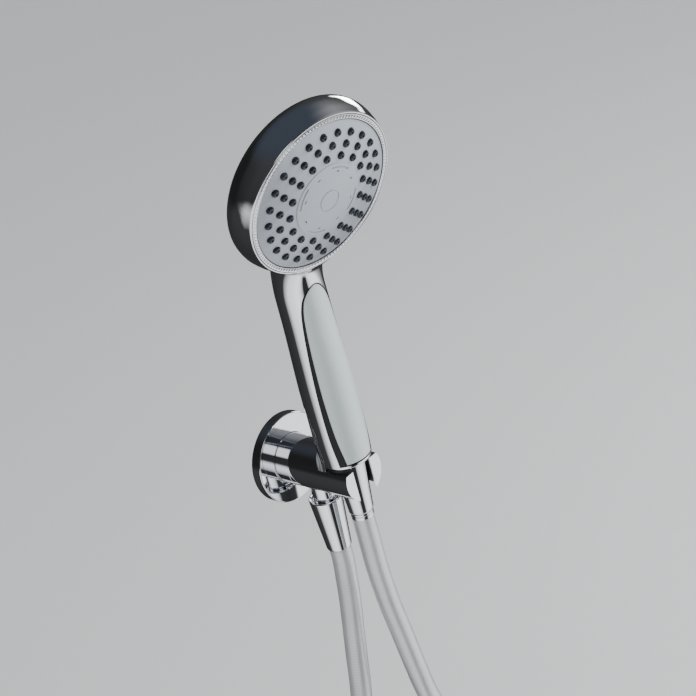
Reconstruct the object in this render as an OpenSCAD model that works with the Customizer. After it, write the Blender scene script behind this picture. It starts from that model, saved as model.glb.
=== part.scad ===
// Wall-mounted hand shower set: outlet bracket with cradle, lift-off handset and hose.
// Origin: centre of the wall flange, on the wall. -Y points out of the wall, +Z is up.

/* [Wall bracket] */
// Radius of the round wall flange
flange_r = 32.6; // [27:0.2:45]
// How far the flange stands out of the wall
flange_t = 8.2; // [6:0.2:12]
// Wall of the hollow flange
flange_wall = 1.8; // [1.2:0.1:3]
// Radius of the round arm
arm_r = 18; // [17:0.2:24]
// Distance from the wall to the arm's end face
arm_len = 75; // [66:0.5:110]
// Distance from the wall to the joint between collar and arm
collar_end = 20.6; // [16:0.2:21]
// Distance from the wall to the hose outlet's axis
outlet_y = 30.5; // [29:0.5:36]
// Distance from the end face back to the cradle's axis
cradle_inset = 12.1; // [11:0.1:16]
// Height of the cradle's flat seat above the arm's axis
seat_z = 8; // [6:0.2:11]
// Width of the slot that lets the hose in from the front
slot_w = 18.4; // [17:0.2:19]
// Radius of the water way inside the arm
water_r = 5; // [4:0.2:6]

/* [Hose fittings] */
// Radius of a conical nut at its wide end
nut_top_r = 12.2; // [12:0.1:13]
// Radius of a conical nut at its narrow end
nut_low_r = 8.8; // [8.6:0.1:10]
// Length of a conical nut
nut_len = 43; // [38:0.5:52]
// Outer radius of the half-inch pipe thread
thread_r = 10.48; // [10.4:0.01:10.6]
// Radius of the smooth neck above the outlet's thread
neck_r = 8.7; // [8:0.1:9]
// Length of the smooth neck that shows under the arm
neck_len = 10; // [7:0.5:14]
// Outer radius of the hose
hose_r = 8; // [6.5:0.1:8.4]
// Inner radius of the hose
hose_bore_r = 4.6; // [4.2:0.1:5]
// Radius of the coil that the spare hose lies in
coil_r = 88; // [80:1:100]

/* [Handset handle] */
// Turn of the handset in its cradle, to its left
handset_turn = 10; // [0:1:30]
// Height of the handle's bottom above the cradle's seat
handle_lift = 4.5; // [4:0.1:7]
// Length of the straight part of the handle
handle_len = 127.5; // [110:0.5:160]
// Radius of the handle where it is fattest
handle_r = 18.7; // [17.5:0.1:19]
// Wall of the handset's housing
shell_wall = 2.4; // [2:0.1:3]
// Bend radius of the neck between handle and head
neck_bend_r = 60; // [50:1:75]
// Thickness of the front panel's lip
panel_t = 1.2; // [0.8:0.1:1.6]
// Half of the panel's greatest width
panel_half_w = 13.6; // [11:0.1:15]

/* [Spray head] */
// Radius of the spray face
face_r = 50.4; // [47:0.2:60]
// Rise of the domed face from its edge to its centre
dome_h = 7.6; // [4:0.2:9]
// Tilt of the face below the horizontal
face_tilt = 21.2; // [10:0.5:30]
// Distance from the handle's axis forward to the face's centre
head_reach = 52; // [48:0.5:62]
// Height of the face's centre above the handle's straight part
neck_rise = 78.7; // [74:0.1:84]
// Depth of the bowl behind the face
bowl_depth = 32.5; // [30:0.5:40]
// Width of the trim ring around the face
trim_w = 3.5; // [2.5:0.1:5]
// Thickness of the face plate
face_t = 2.2; // [1.6:0.1:3]
// Thickness of the rubber nozzle mat
mat_t = 1.5; // [1:0.1:2]
// Radius of one nozzle
nozzle_r = 2.55; // [1.6:0.05:2.8]
// How far a nozzle stands out of the face
nozzle_out = 1.6; // [0.8:0.1:3]
// Radius of the centre insert
insert_r = 24.5; // [20:0.5:25]
// Radius of the massage turbine
turbine_r = 12; // [9:0.2:14]

/* [Fits] */
// Gap between parts that turn or slide on each other
run_gap = 0.3; // [0.2:0.05:0.4]
// Gap between fixed parts that are pushed together
fit_gap = 0.05; // [0.02:0.01:0.1]
// Gap between the nut's cone and the cradle's liner
cradle_gap = 0.35; // [0.3:0.05:0.5]
// Wall of the cradle's liner at its rim
liner_wall = 1.5; // [1:0.1:1.8]

/* [Hidden] */
$fn = 64;
eps = 0.01;
cradle_y = arm_len - cradle_inset;
handle_bottom = seat_z + handle_lift;
head_rise = handle_len + neck_rise;
nut_top_z = handle_bottom - fit_gap;
nut_slope = (nut_top_r - nut_low_r) / nut_len;

// Cradle
liner_rim_h = 2.5;
liner_low = -12;
liner_top = seat_z + liner_rim_h;
function nut_r_at(z) = nut_top_r - (nut_top_z - z) * nut_slope;
liner_r = nut_r_at(liner_top) + cradle_gap + liner_wall;
step_gap = 2.2;
step_r = handle_r + step_gap;

// Supply end
nipple_out = 15;
nipple_in = 14;
nipple_in_r = thread_r - 0.6;
core_r = 12.5;
grub_r = 2.5;
grub_len = 4;

// Outlet
neck_low = -(arm_r + neck_len);
thread_len = 10;
outlet_thread_low = neck_low - thread_len;
outlet_socket = 9;
nut_lip = 0.6;
out_nut_top = neck_low + nut_lip;
out_nut_low = out_nut_top - nut_len;
washer_t = 2;
washer_r = 9.4;
ferrule_r = 9.3;
ferrule_t = 2.5;

// Check valve in the outlet
valve_r = 7;
valve_wall = 1.2;
valve_len = 13;
valve_top = -(arm_r + 1);
valve_seat_t = 1.6;
poppet_r = 4.6;
poppet_t = 1.4;

// Handset inlet
nut_low_z = nut_top_z - nut_len;
inlet_thread_len = 11;
inlet_low = nut_top_z - inlet_thread_len;
regulator_t = 3;
screen_t = 0.6;
swivel_ring_t = 5.15;
swivel_ring_r = hose_r + 0.4;
swivel_tail_r = 5.4;
swivel_sleeve_r = 7.4;
sleeve_len = 24;
sleeve_clear = 1.2;
tail_bore_r = 3.4;
tail_seal_z = 10;
tail_seal_r = 0.95;
tail_groove_r = 1.1;
regulator_r = 7.4;
connector_lip_t = 4;
connector_lip_r = (thread_r + handle_r - 0.9 - shell_wall) / 2;
plug_r = 9;
plug_len = 14;
plug_seal_z = 11;
plug_groove_r = 1;
plug_seal_r = 0.9;
tube_seat = 5;
tube_r = 6.2;
tube_bore = 4.8;

// Hose route: the outlet's run ends in the coil, and the handset's run comes out of it.
coil_z = -372;
coil_y_in = -34;
coil_y_out = -61;
outlet_route = [
    [0, -30.5, -71], [0, -30.5, -82], [-2, -30.5, -98], [-5, -31, -115],
    [-9, -31, -135], [-14, -31, -160], [-21, -32, -190], [-31, -32, -220],
    [-44, -33, -250], [-59, -33, -280], [-74, -34, -311], [-84, -34, -342], [-88, -34, -372]
];
handset_route = [
    [0, -62.9, -36], [0, -62.9, -60], [0, -62.9, -82], [2, -63, -112],
    [6, -63, -143], [10, -63, -175], [15, -63, -208], [24, -63, -236],
    [37, -62, -264], [53, -62, -290], [69, -61, -315], [82, -61, -343], [88, -61, -372]
];

// Handle and neck: [share of the straight length, radius] and [neck angle, radius]
handle_steps = [
    [0, handle_r - 0.9], [0.1, handle_r - 0.3], [0.25, handle_r], [0.45, handle_r],
    [0.62, handle_r - 0.6], [0.82, handle_r - 1.4], [1, handle_r - 1.7]
];
neck_steps = [
    [10, handle_r - 2], [20, handle_r - 1.9], [30, handle_r - 1.5], [40, handle_r - 0.9],
    [47, handle_r - 0.5]
];
bottom_wall = 3;
panel_gap = 0.3;
panel_rise = 0.35;
panel_lip = 2;
tube_end = 50;
tube_dir = tube_end - 5;
stations = concat(
    [for (s = handle_steps) [0, handle_bottom + s[0] * handle_len, 0, s[1]]],
    [for (s = neck_steps) [
        -neck_bend_r * (1 - cos(s[0])),
        handle_bottom + handle_len + neck_bend_r * sin(s[0]),
        s[0],
        s[1]
    ]]
);

// Head: heights are along the face's axis, from the plane of the face's edge
dome_r = (face_r * face_r + dome_h * dome_h) / (2 * dome_h);
function dome_z(r) = dome_h - dome_r + sqrt(dome_r * dome_r - r * r);
edge_cos = cos(asin(face_r / dome_r));
plate_top = -(face_t + mat_t) / edge_cos;
plate_t = 4.8;
plate_low = plate_top - plate_t;
core_gap = 0.7;
core_top = plate_low - core_gap;
core_t = 6.5;
core_low = core_top - core_t;
core_disc_r = face_r;
trim_r = face_r + trim_w;
trim_top = 0.9;
bowl_edge_r = trim_r + run_gap;
bowl_max_r = trim_r + 4.4;
pivot_r = 5;
pivot_washer_t = 0.8;
pivot_washer_r = 7.5;
screw_head_t = 2;
screw_head_r = 4;
screw_r = 1.8;
pivot_screw_len = 12;
pivot_screw_low = core_top - pivot_screw_len + 1;
screw_seat = 0.5;
screw_z = plate_top + screw_seat;
turbine_low = screw_z + pivot_washer_t + screw_head_t + 0.5;
turbine_t = 3.2;
axle_r = 1.5;
insert_rise = 0.4;
ring_out = face_r - 7.2;
ring_in = insert_r + 4.6;
ring_radii = [ring_out, (ring_in + ring_out) / 2, ring_in];
ring_counts = [24, 20, 16];
ring_phases = [0, 9, 0];
port_ring_r = 25;
port_r = 3;
port_angles = [30, 90, 150];
detent_ring_r = 33;
detent_r = 2.4;
detent_travel = 0.6;
track_depth = 0.8;
core_screw_ring = face_r - 10.4;
core_screw_angles = [30, 150, 215, 325];
core_screw_r = 1.4;
core_screw_head_r = 2.7;
core_screw_head_t = 1.7;
post_r = 3.6;
port_seal_r = 4;
port_seal_t = 3;
port_bore_r = 2;
detent_floor = 0.8;
detent_nose_r = 1.2;
detent_t = 3;
spring_wire = 0.25;
head_seal_r = 1;
seal_ring_r = face_r - 4.4;
mist_ring_r = 19.5;
mist_count = 8;

// ---------- helpers ----------

// A tube or disc whose axis runs out of the wall, from y0 to y1 in front of it
module out_of_wall(y0, y1, r) {
    translate([0, -y0, 0])
    rotate([90, 0, 0])
    cylinder(h = y1 - y0, r = r);
}

// A round hollow piece standing on z0
module pipe(z0, h, r, bore) {
    translate([0, 0, z0])
    difference() {
        cylinder(h = h, r = r);
        translate([0, 0, -1])
        cylinder(h = h + 2, r = bore);
    }
}

// The conical nut, its wide end up at z = 0
module conical_nut() {
    difference() {
        rotate_extrude()
        polygon([
            [0, 0], [nut_top_r - 0.5, 0], [nut_top_r, -0.5], [nut_low_r + 0.4, -nut_len + 0.6],
            [nut_low_r - 0.1, -nut_len], [0, -nut_len]
        ]);
        translate([0, 0, -inlet_thread_len - washer_t - ferrule_t])
        cylinder(h = inlet_thread_len + washer_t + ferrule_t + 1, r = thread_r);
        translate([0, 0, -nut_len - 1])
        cylinder(h = nut_len + 1, r = swivel_sleeve_r + fit_gap);
    }
}

// A coil spring of n turns between z0 and z1, made of stacked rings joined by a thin sleeve
module stacked_spring(z0, z1, r, wire, n) {
    pitch = (z1 - z0 - 2 * wire) / (n - 1);
    for (i = [0:n - 1])
    translate([0, 0, z0 + wire + i * pitch])
    rotate_extrude()
    translate([r, 0])
    circle(r = wire, $fn = 16);
    pipe(z0 + wire, z1 - z0 - 2 * wire, r + wire / 2, r - wire / 2);
}

// Handset pieces are drawn upright about their own axis, then turned in the cradle
module in_cradle() {
    translate([0, -cradle_y, 0])
    rotate([0, 0, -handset_turn])
    children();
}

// Head pieces are drawn with the face's axis along Z
module in_head() {
    in_cradle()
    head_place()
    children();
}

// The spherical shell between two depths below the face's surface
module dome_layer(depth, t, r) {
    intersection() {
        translate([0, 0, dome_h - dome_r])
        difference() {
            sphere(r = dome_r - depth);
            sphere(r = dome_r - depth - t);
        }
        translate([0, 0, plate_top - 1])
        cylinder(h = dome_h + 6, r = r);
    }
}

// Places its child at every nozzle
module each_nozzle() {
    for (i = [0:2], k = [0:ring_counts[i] - 1])
    rotate([0, 0, ring_phases[i] + k * 360 / ring_counts[i]])
    translate([ring_radii[i], 0, dome_z(ring_radii[i])])
    children();
}

// The skin of handle and neck, grown by d, from low above its bottom to over past its top
function skin_ring(s, d, n) = [
    for (k = [0:n - 1])
    let (a = k * 360 / n, r = s[3] + d)
    [r * cos(a), s[0] + r * sin(a) * cos(s[2]), s[1] + r * sin(a) * sin(s[2])]
];
module handle_skin(d, low, over, n = 32) {
    m = len(stations);
    top = stations[m - 1];
    rings = [for (i = [0:m - 1])
        i == 0 ? [0, handle_bottom + low, 0, stations[0][3]]
        : i == m - 1 ? [top[0] - over * sin(top[2]), top[1] + over * cos(top[2]), top[2], top[3]]
        : stations[i]];
    verts = [for (s = rings) each skin_ring(s, d, n)];
    sides = [for (i = [0:m - 2], k = [0:n - 1])
        [i * n + k, (i + 1) * n + k, (i + 1) * n + (k + 1) % n, i * n + (k + 1) % n]];
    caps = [[for (k = [0:n - 1]) k], [for (k = [n - 1:-1:0]) (m - 1) * n + k]];
    polyhedron(points = verts, faces = concat(sides, caps), convexity = 6);
}

// The front panel's leaf outline, seen from the front
module leaf(d) {
    z0 = handle_bottom + 3.5;
    z1 = handle_bottom + handle_len + 6;
    top_r = panel_half_w * 0.66;
    rotate([90, 0, 0])
    linear_extrude(height = handle_r + 30)
    offset(delta = d)
    hull() {
        translate([-panel_half_w * 0.78, z0])
        square([panel_half_w * 1.56, 1]);
        translate([0, z0 + (z1 - z0) * 0.45])
        scale([1, 2.2])
        circle(r = panel_half_w, $fn = 40);
        translate([0, z1 - top_r])
        circle(r = top_r, $fn = 40);
    }
}

// A round tube swept along a route, with flat ends
function unit(v) = v / norm(v);
function heading(p, i) = unit(p[min(i + 1, len(p) - 1)] - p[max(i - 1, 0)]);
function ring_at(p, i, r, n) =
    let (t = heading(p, i), side = unit(cross(t, [0.03, 1, 0.1])), up = cross(side, t))
    [for (k = [0:n - 1]) p[i] + r * cos(k * 360 / n) * side + r * sin(k * 360 / n) * up];
module swept_tube(p, r, n = 12) {
    m = len(p);
    verts = [for (i = [0:m - 1]) each ring_at(p, i, r, n)];
    sides = [for (i = [0:m - 2], k = [0:n - 1])
        [i * n + k, i * n + (k + 1) % n, (i + 1) * n + (k + 1) % n, (i + 1) * n + k]];
    caps = [[for (k = [n - 1:-1:0]) k], [for (k = [0:n - 1]) (m - 1) * n + k]];
    polyhedron(points = verts, faces = concat(sides, caps), convexity = 6);
}

// The outer shape of the coiled hose, grown by d
module coil_ring(d) {
    y_low = min(coil_y_in, coil_y_out) - hose_r - d;
    y_high = max(coil_y_in, coil_y_out) + hose_r + d;
    translate([0, y_high, coil_z])
    rotate([90, 0, 0])
    rotate_extrude()
    translate([coil_r - hose_r - d, 0])
    square([2 * (hose_r + d), y_high - y_low]);
}

// ---------- wall bracket ----------

module wall_flange() {
    color("silver")
    translate([0, -flange_t, 0])
    rotate([-90, 0, 0])
    rotate_extrude()
    polygon([
        [arm_r + fit_gap, 0], [flange_r - 0.8, 0], [flange_r, 0.8], [flange_r, flange_t],
        [flange_r - flange_wall, flange_t], [flange_r - flange_wall, flange_wall],
        [arm_r + fit_gap, flange_wall]
    ]);
}

module flange_gasket() {
    color("black")
    translate([0, -flange_t + flange_wall, 0])
    rotate([-90, 0, 0])
    pipe(0, flange_t - flange_wall, flange_r - flange_wall - fit_gap, flange_r - flange_wall - 3);
}

module supply_nipple() {
    color("goldenrod")
    difference() {
        union() {
            out_of_wall(-nipple_out, 0, thread_r);
            out_of_wall(-eps, nipple_in, nipple_in_r);
        }
        out_of_wall(-nipple_out - 1, nipple_in + 1, water_r + 1.5);
    }
}

module arm_body() {
    color("silver")
    difference() {
        union() {
            out_of_wall(collar_end, arm_len, arm_r);
            out_of_wall(0.5, collar_end, core_r);
        }
        out_of_wall(0, nipple_in, nipple_in_r + fit_gap);
        out_of_wall(nipple_in - 1, outlet_y + water_r, water_r);
        translate([0, -outlet_y, -arm_r - 1])
        cylinder(h = arm_r + 1, r = water_r);
        translate([0, -outlet_y, -arm_r - 1])
        cylinder(h = outlet_socket + 1, r = neck_r);
        // flat seat, stepped down behind the handle
        translate([-arm_r - 1, -arm_len - 1, seat_z])
        cube([2 * arm_r + 2, arm_len + 1 - cradle_y, arm_r]);
        translate([0, -cradle_y, seat_z])
        cylinder(h = arm_r, r = step_r);
        // cradle bore and its front slot
        translate([0, -cradle_y, -arm_r - 1])
        cylinder(h = 2 * arm_r + 2, r = liner_r);
        translate([-slot_w / 2, -arm_len - 1, -arm_r - 1])
        cube([slot_w, cradle_inset + 1, 2 * arm_r + 2]);
    }
}

module arm_collar() {
    color("silver")
    difference() {
        out_of_wall(0.5, collar_end - fit_gap, arm_r);
        out_of_wall(0, collar_end + 1, core_r + fit_gap);
        translate([0, -(flange_t + collar_end) / 2, -arm_r - 1])
        cylinder(h = arm_r, r = grub_r + fit_gap);
    }
}

module grub_screw() {
    color("dimgray")
    translate([0, -(flange_t + collar_end) / 2, -core_r - grub_len - fit_gap])
    difference() {
        cylinder(h = grub_len, r = grub_r);
        translate([0, 0, -1])
        cylinder(h = 3, r = grub_r / 2, $fn = 6);
    }
}

module cradle_liner() {
    color("black")
    translate([0, -cradle_y, 0])
    difference() {
        union() {
            translate([0, 0, liner_low])
            cylinder(h = seat_z - liner_low, r = liner_r - fit_gap);
            translate([0, 0, seat_z + fit_gap])
            cylinder(h = liner_rim_h - fit_gap, r = liner_r + 1.2);
            translate([0, 0, seat_z - 1])
            cylinder(h = 2, r = liner_r - fit_gap);
        }
        translate([0, 0, liner_low - 1])
        cylinder(
            h = liner_top - liner_low + 2,
            r1 = nut_r_at(liner_low - 1) + cradle_gap,
            r2 = nut_r_at(liner_top + 1) + cradle_gap
        );
        translate([-slot_w / 2, -liner_r - 3, liner_low - 1])
        cube([slot_w, liner_r + 3, liner_top - liner_low + 2]);
    }
}

module outlet_spigot() {
    color("silver")
    translate([0, -outlet_y, 0])
    difference() {
        union() {
            translate([0, 0, neck_low])
            cylinder(h = -arm_r + outlet_socket - neck_low - fit_gap, r = neck_r - fit_gap);
            translate([0, 0, outlet_thread_low])
            cylinder(h = thread_len, r = thread_r - fit_gap);
        }
        translate([0, 0, outlet_thread_low - 1])
        cylinder(h = arm_r + neck_len + thread_len + 1, r = water_r - 0.2);
        translate([0, 0, valve_top - valve_len])
        cylinder(h = valve_len + outlet_socket + 2, r = valve_r + fit_gap);
    }
}

module check_valve_body() {
    color("white")
    translate([0, -outlet_y, 0])
    difference() {
        translate([0, 0, valve_top - valve_len + fit_gap])
        cylinder(h = valve_len - fit_gap, r = valve_r);
        translate([0, 0, valve_top - valve_len + valve_seat_t])
        cylinder(h = valve_len - 2 * valve_seat_t, r = valve_r - valve_wall);
        translate([0, 0, valve_top - valve_len - 1])
        cylinder(h = valve_len + 2, r = poppet_r - 1.4);
    }
}

module check_valve_poppet() {
    color("orange")
    translate([0, -outlet_y, valve_top - valve_seat_t - run_gap - poppet_t])
    union() {
        cylinder(h = poppet_t, r = poppet_r);
        translate([0, 0, -2])
        cylinder(h = 2, r = 1.4);
    }
}

module check_valve_spring() {
    color("gray")
    translate([0, -outlet_y, 0])
    stacked_spring(
        valve_top - valve_len + valve_seat_t + fit_gap,
        valve_top - valve_seat_t - run_gap - poppet_t - fit_gap,
        3.8, 0.4, 5
    );
}

module outlet_nut() {
    color("silver")
    translate([0, -outlet_y, out_nut_top])
    conical_nut();
}

module outlet_washer() {
    color("black")
    translate([0, -outlet_y, 0])
    pipe(outlet_thread_low - washer_t, washer_t, washer_r, water_r);
}

// Flanged hose end: flange, sleeve out of the nut, and a barb inside the hose
module outlet_ferrule() {
    color("goldenrod")
    translate([0, -outlet_y, 0])
    difference() {
        union() {
            translate([0, 0, outlet_thread_low - washer_t - ferrule_t])
            cylinder(h = ferrule_t, r = ferrule_r);
            translate([0, 0, out_nut_low])
            cylinder(h = outlet_thread_low - washer_t - 1 - out_nut_low, r = swivel_sleeve_r);
            translate([0, 0, out_nut_low - 0.6])
            cylinder(h = 1, r = hose_bore_r + 1);
        }
        translate([0, 0, out_nut_low - 2])
        cylinder(h = nut_len, r = hose_bore_r - 0.8);
    }
}

// ---------- hose ----------

module hose_outlet_run() {
    color("gainsboro")
    swept_tube(outlet_route, hose_r);
}

module hose_coil() {
    color("gainsboro")
    coil_ring(0);
}

module hose_tie() {
    color("black")
    intersection() {
        difference() {
            coil_ring(1.4);
            coil_ring(fit_gap);
        }
        translate([-6, -100, coil_z - coil_r - 20])
        cube([12, 100, 40]);
    }
}

module hose_handset_run() {
    color("gainsboro")
    swept_tube(handset_route, hose_r);
}

// ---------- handset inlet ----------

// Tail of the hose: ring under the nut, spigot inside its sleeve
module swivel_tail() {
    color("silver")
    translate([0, -cradle_y, 0])
    difference() {
        union() {
            translate([0, 0, nut_low_z - run_gap - swivel_ring_t])
            cylinder(h = swivel_ring_t, r = swivel_ring_r);
            translate([0, 0, nut_low_z - run_gap - 1])
            cylinder(h = sleeve_len - 4, r = swivel_tail_r);
        }
        translate([0, 0, nut_low_z - swivel_ring_t - 2])
        cylinder(h = nut_len, r = tail_bore_r);
        translate([0, 0, nut_low_z + tail_seal_z])
        rotate_extrude()
        translate([swivel_tail_r, 0])
        circle(r = tail_groove_r, $fn = 24);
    }
}

module swivel_o_ring() {
    color("black")
    translate([0, -cradle_y, nut_low_z + tail_seal_z])
    rotate_extrude()
    translate([swivel_tail_r - 0.1, 0])
    circle(r = tail_seal_r, $fn = 24);
}

module swivel_sleeve() {
    color("goldenrod")
    in_cradle()
    difference() {
        union() {
            translate([0, 0, inlet_low - washer_t - ferrule_t])
            cylinder(h = ferrule_t, r = ferrule_r);
            translate([0, 0, nut_low_z])
            cylinder(h = inlet_low - washer_t - 1 - nut_low_z, r = swivel_sleeve_r);
        }
        translate([0, 0, nut_low_z - 1])
        cylinder(h = sleeve_len, r = swivel_tail_r + sleeve_clear);
        translate([0, 0, nut_low_z])
        cylinder(h = nut_len, r = tail_bore_r);
    }
}

module handset_nut() {
    color("silver")
    in_cradle()
    translate([0, 0, nut_top_z])
    conical_nut();
}

module inlet_washer() {
    color("black")
    in_cradle()
    pipe(inlet_low - washer_t, washer_t - screen_t, washer_r, water_r);
}

module filter_screen() {
    color("gray")
    in_cradle()
    translate([0, 0, inlet_low - screen_t])
    difference() {
        cylinder(h = screen_t, r = washer_r);
        for (x = [-1:1], y = [-1:1])
        translate([x * 2.6, y * 2.6, -1])
        cylinder(h = 3, r = 0.9, $fn = 16);
    }
}

module flow_regulator() {
    color("seagreen")
    in_cradle()
    translate([0, 0, inlet_low + 1])
    difference() {
        cylinder(h = regulator_t, r = regulator_r);
        translate([0, 0, -1])
        cylinder(h = regulator_t + 2, r = 1.6);
    }
}

module handle_connector() {
    color("goldenrod")
    in_cradle()
    difference() {
        union() {
            translate([0, 0, inlet_low])
            cylinder(h = inlet_thread_len + bottom_wall + 1, r = thread_r - fit_gap);
            translate([0, 0, handle_bottom + bottom_wall + fit_gap])
            cylinder(h = connector_lip_t, r = connector_lip_r);
            translate([0, 0, handle_bottom + bottom_wall])
            cylinder(h = plug_len, r = plug_r);
        }
        translate([0, 0, inlet_low - 1])
        cylinder(h = inlet_thread_len + bottom_wall + 20, r = water_r - 0.4);
        translate([0, 0, inlet_low - 1])
        cylinder(h = regulator_t + 2 + fit_gap, r = regulator_r + 0.1);
        translate([0, 0, handle_bottom + bottom_wall + tube_seat - 1])
        cylinder(h = 20, r = tube_r + fit_gap);
        translate([0, 0, handle_bottom + bottom_wall + plug_seal_z])
        rotate_extrude()
        translate([plug_r, 0])
        circle(r = plug_groove_r, $fn = 24);
    }
}

module connector_o_ring() {
    color("black")
    in_cradle()
    translate([0, 0, handle_bottom + bottom_wall + plug_seal_z])
    rotate_extrude()
    translate([plug_r + 0.1, 0])
    circle(r = plug_seal_r, $fn = 24);
}

// ---------- handset body ----------

// Outline of the bowl: out along its back, then the rim
module bowl_outline() {
    polygon([
        [0, -bowl_depth], [20, -bowl_depth + 0.6], [34, -bowl_depth + 2.2], [44, -bowl_depth + 4.7],
        [bowl_max_r - 7.2, -bowl_depth + 7.4], [bowl_max_r - 3.2, -bowl_depth + 10.3],
        [bowl_max_r - 0.9, -bowl_depth + 13.7], [bowl_max_r, -bowl_depth + 17.7], [bowl_max_r, -12],
        [bowl_max_r - 0.9, -7], [bowl_max_r - 2.3, -2.4], [bowl_edge_r + 0.9, 0.4], [0, 0.4]
    ]);
}

module bowl_hollow() {
    polygon([
        [0, -bowl_depth + shell_wall], [20, -bowl_depth + shell_wall + 0.6],
        [33, -bowl_depth + shell_wall + 2],
        [42, -bowl_depth + shell_wall + 4.4], [bowl_max_r - 8.8, -bowl_depth + shell_wall + 7],
        [bowl_max_r - 3.4, core_low], [bowl_max_r - 3, -9], [bowl_edge_r, -5], [bowl_edge_r, 2], [0, 2]
    ]);
}

// Moves its child from the head's own frame to the handset's
module head_place() {
    translate([0, -head_reach, handle_bottom + head_rise])
    rotate([90 + face_tilt, 0, 0])
    children();
}

module handle_shell() {
    color("silver")
    in_cradle()
    difference() {
        handle_skin(0, 0, 0);
        handle_skin(-shell_wall, bottom_wall, 3);
        translate([0, 0, handle_bottom - 1])
        cylinder(h = bottom_wall + 2, r = thread_r + fit_gap);
        leaf(panel_gap);
        head_place()
        rotate_extrude()
        bowl_outline();
    }
}

module head_shell() {
    color("silver")
    in_cradle()
    difference() {
        union() {
            difference() {
                head_place()
                rotate_extrude()
                bowl_outline();
                head_place()
                rotate_extrude()
                bowl_hollow();
                handle_skin(-shell_wall, handle_len / 2, 1);
            }
            // posts that the core is screwed to
            head_place()
            for (a = core_screw_angles)
            rotate([0, 0, a])
            translate([core_screw_ring, 0, -bowl_depth + 5])
            cylinder(h = core_low + bowl_depth - 5 - fit_gap, r = post_r);
        }
        head_place()
        for (a = core_screw_angles)
        rotate([0, 0, a])
        translate([core_screw_ring, 0, core_low - 7])
        cylinder(h = 8, r = core_screw_r);
    }
}

// The panel fills the window in the handle's front, and its lip lies behind the window's edge
module handle_panel() {
    color("whitesmoke")
    in_cradle()
    union() {
        intersection() {
            difference() {
                handle_skin(panel_rise, 0, 0);
                handle_skin(-shell_wall - panel_t, -5, 3);
            }
            leaf(0);
        }
        intersection() {
            difference() {
                handle_skin(-shell_wall - fit_gap, bottom_wall + fit_gap, 0);
                handle_skin(-shell_wall - panel_t, -5, 3);
            }
            leaf(panel_lip);
        }
    }
}

// Straight run from the connector, then the neck's bend up to the core's inlet
function bend_point(a) = [
    0,
    -neck_bend_r * (1 - cos(a)),
    handle_bottom + handle_len + neck_bend_r * sin(a)
];
tube_tip = bend_point(tube_end);
function tube_route(over) = concat(
    [[0, 0, handle_bottom + bottom_wall + tube_seat - over]],
    [for (a = [0:10:tube_end - 10]) bend_point(a)],
    [tube_tip + over * [0, -sin(tube_end), cos(tube_end)]]
);

module water_tube() {
    color("lightblue")
    in_cradle()
    difference() {
        swept_tube(tube_route(0), tube_r, 16);
        swept_tube(tube_route(1), tube_bore, 16);
    }
}

module head_core() {
    color("ghostwhite")
    difference() {
        union() {
            in_head()
            union() {
                translate([0, 0, core_low])
                cylinder(h = core_t, r = core_disc_r);
                translate([0, 0, core_top - 1])
                cylinder(h = screw_z - core_top + 1, r = pivot_r);
            }
            in_cradle()
            intersection() {
                translate(tube_tip)
                rotate([tube_end, 0, 0])
                translate([0, 0, fit_gap])
                cylinder(h = 16, r = tube_r + 2);
                head_place()
                translate([0, 0, core_low - 20])
                cylinder(h = 22, r = core_disc_r);
            }
        }
        in_cradle()
        translate(tube_tip)
        rotate([tube_end, 0, 0])
        translate([0, 0, -1])
        cylinder(h = 15, r = tube_bore);
        // room for the tube's own end
        in_cradle()
        translate(tube_tip)
        rotate([tube_dir, 0, 0])
        translate([0, 0, -16])
        cylinder(h = 16 + fit_gap, r = tube_r + fit_gap);
        in_head()
        union() {
            translate([0, 0, core_top - pivot_screw_len])
            cylinder(h = pivot_screw_len + 10, r = screw_r);
            // water way to the port seal, then the seal's own pocket
            rotate([0, 0, 90])
            translate([port_ring_r, 0, core_low - 1])
            cylinder(h = core_t + 2, r = port_bore_r);
            rotate([0, 0, 90])
            translate([port_ring_r, 0, core_top - port_seal_t])
            cylinder(h = port_seal_t + 1, r = port_seal_r + 0.2);
            translate([-detent_ring_r, 0, core_low + detent_floor])
            cylinder(h = core_t, r = detent_r + run_gap);
            translate([0, 0, core_top - 1.4])
            difference() {
                cylinder(h = 2, r = seal_ring_r + 1.2);
                translate([0, 0, -1])
                cylinder(h = 4, r = seal_ring_r - 1.2);
            }
            for (a = core_screw_angles)
            rotate([0, 0, a])
            translate([core_screw_ring, 0, 0])
            union() {
                translate([0, 0, core_low - 1])
                cylinder(h = core_t + 2, r = core_screw_r + fit_gap);
                translate([0, 0, core_top - 2])
                cylinder(h = 3, r = core_screw_head_r + 0.2);
            }
        }
    }
}

module core_screws() {
    color("gray")
    in_head()
    for (a = core_screw_angles)
    rotate([0, 0, a])
    translate([core_screw_ring, 0, 0])
    union() {
        translate([0, 0, core_low - 6])
        cylinder(h = core_t + 5, r = core_screw_r - fit_gap);
        translate([0, 0, core_top - 2 + fit_gap])
        cylinder(h = core_screw_head_t, r = core_screw_head_r);
    }
}

module head_o_ring() {
    color("black")
    in_head()
    translate([0, 0, core_top - 0.4])
    rotate_extrude()
    translate([seal_ring_r, 0])
    circle(r = head_seal_r, $fn = 24);
}

module port_seal() {
    color("dimgray")
    in_head()
    rotate([0, 0, 90])
    translate([port_ring_r, 0, core_top - port_seal_t + fit_gap])
    difference() {
        cylinder(h = port_seal_t + core_gap - run_gap, r = port_seal_r);
        translate([0, 0, -1])
        cylinder(h = 6, r = port_bore_r);
    }
}

module pivot_screw() {
    color("gray")
    in_head()
    union() {
        translate([0, 0, pivot_screw_low])
        cylinder(h = screw_z + pivot_washer_t + eps - pivot_screw_low, r = screw_r - fit_gap);
        translate([0, 0, screw_z + pivot_washer_t])
        cylinder(h = screw_head_t, r = screw_head_r);
    }
}

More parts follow.
